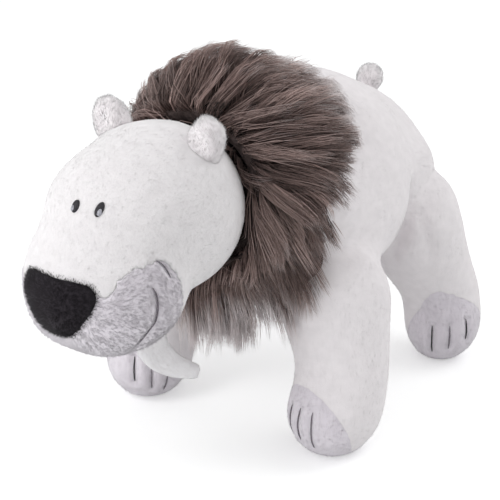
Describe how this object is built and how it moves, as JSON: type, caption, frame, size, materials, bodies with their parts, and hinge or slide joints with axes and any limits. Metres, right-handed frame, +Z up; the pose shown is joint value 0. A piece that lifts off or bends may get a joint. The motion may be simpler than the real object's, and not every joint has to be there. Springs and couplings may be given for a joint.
{
  "type": "plush polar bear",
  "caption": "Standing stuffed polar bear toy with a long fur mane, soft joints at neck, ears, chin tuft, tail and legs; rests on flat soles.",
  "frame": {"origin": "on the floor under the middle of the toy's bounding box", "axes": "+Z up, face towards -Y, the toy's own left at +X"},
  "size_m": [0.2012, 0.3556, 0.241],
  "materials": {
    "white_plush": "short white plush pile",
    "smooth_white": "smooth white short-nap cloth",
    "grey_plush": "short lilac-grey plush pile",
    "black_plush": "short black plush pile",
    "taupe_fur": "long dark taupe faux fur with pale tips",
    "dark_thread": "embroidered thread",
    "fibre_filling": "loose polyester fibre"
  },
  "bodies": {
    "torso": {"torso_cover": "white_plush", "torso_stuffing": "fibre_filling", "mane": "taupe_fur"},
    "head": {"head_cover": "white_plush", "muzzle_panel": "grey_plush", "head_stuffing": "fibre_filling", "nose": "black_plush", "eye_left": "dark_thread", "eye_right": "dark_thread"},
    "ear_left": {"ear_left": "white_plush"},
    "ear_right": {"ear_right": "white_plush"},
    "chin_tuft": {"chin_tuft": "smooth_white"},
    "tail": {"tail": "white_plush"},
    "front_left_leg": {"front_left_leg_cover": "white_plush", "front_left_paw": "grey_plush", "front_left_leg_stuffing": "fibre_filling"},
    "front_right_leg": {"front_right_leg_cover": "white_plush", "front_right_paw": "grey_plush", "front_right_leg_stuffing": "fibre_filling"},
    "hind_left_leg": {"hind_left_leg_cover": "white_plush", "hind_left_paw": "grey_plush", "hind_left_leg_stuffing": "fibre_filling"},
    "hind_right_leg": {"hind_right_leg_cover": "white_plush", "hind_right_paw": "grey_plush", "hind_right_leg_stuffing": "fibre_filling"}
  },
  "joints": [
    {"name": "head_nod", "type": "hinge", "parent": "torso", "child": "head", "pos_m": [0, -0.08486, 0.167], "axis": [1, 0, 0], "range_deg": [-12, 12], "stiffness_Nm_per_rad": 4},
    {"name": "ear_left_fold", "type": "hinge", "parent": "head", "child": "ear_left", "pos_m": [0.034, -0.08286, 0.203], "axis": [1, 0, 0], "range_deg": [-15, 15], "stiffness_Nm_per_rad": 0.08},
    {"name": "ear_right_fold", "type": "hinge", "parent": "head", "child": "ear_right", "pos_m": [-0.034, -0.08286, 0.203], "axis": [1, 0, 0], "range_deg": [-15, 15], "stiffness_Nm_per_rad": 0.08},
    {"name": "chin_tuft_swing", "type": "hinge", "parent": "head", "child": "chin_tuft", "pos_m": [0.007, -0.10486, 0.097], "axis": [1, 0, 0], "range_deg": [-10, 10], "stiffness_Nm_per_rad": 0.05},
    {"name": "tail_wag", "type": "hinge", "parent": "torso", "child": "tail", "pos_m": [0, 0.13964, 0.18], "axis": [0, 0.8107, -0.5855], "range_deg": [-12, 12], "stiffness_Nm_per_rad": 0.05},
    {"name": "front_left_leg_swing", "type": "hinge", "parent": "torso", "child": "front_left_leg", "pos_m": [0.06, 0.00414, 0.092], "axis": [1, 0, 0], "range_deg": [-8, 8], "stiffness_Nm_per_rad": 3},
    {"name": "front_right_leg_swing", "type": "hinge", "parent": "torso", "child": "front_right_leg", "pos_m": [-0.06, 0.00414, 0.092], "axis": [1, 0, 0], "range_deg": [-8, 8], "stiffness_Nm_per_rad": 3},
    {"name": "hind_left_leg_swing", "type": "hinge", "parent": "torso", "child": "hind_left_leg", "pos_m": [0.046, 0.12314, 0.103], "axis": [1, 0, 0], "range_deg": [-8, 8], "stiffness_Nm_per_rad": 3},
    {"name": "hind_right_leg_swing", "type": "hinge", "parent": "torso", "child": "hind_right_leg", "pos_m": [-0.046, 0.12314, 0.103], "axis": [1, 0, 0], "range_deg": [-8, 8], "stiffness_Nm_per_rad": 3}
  ]
}
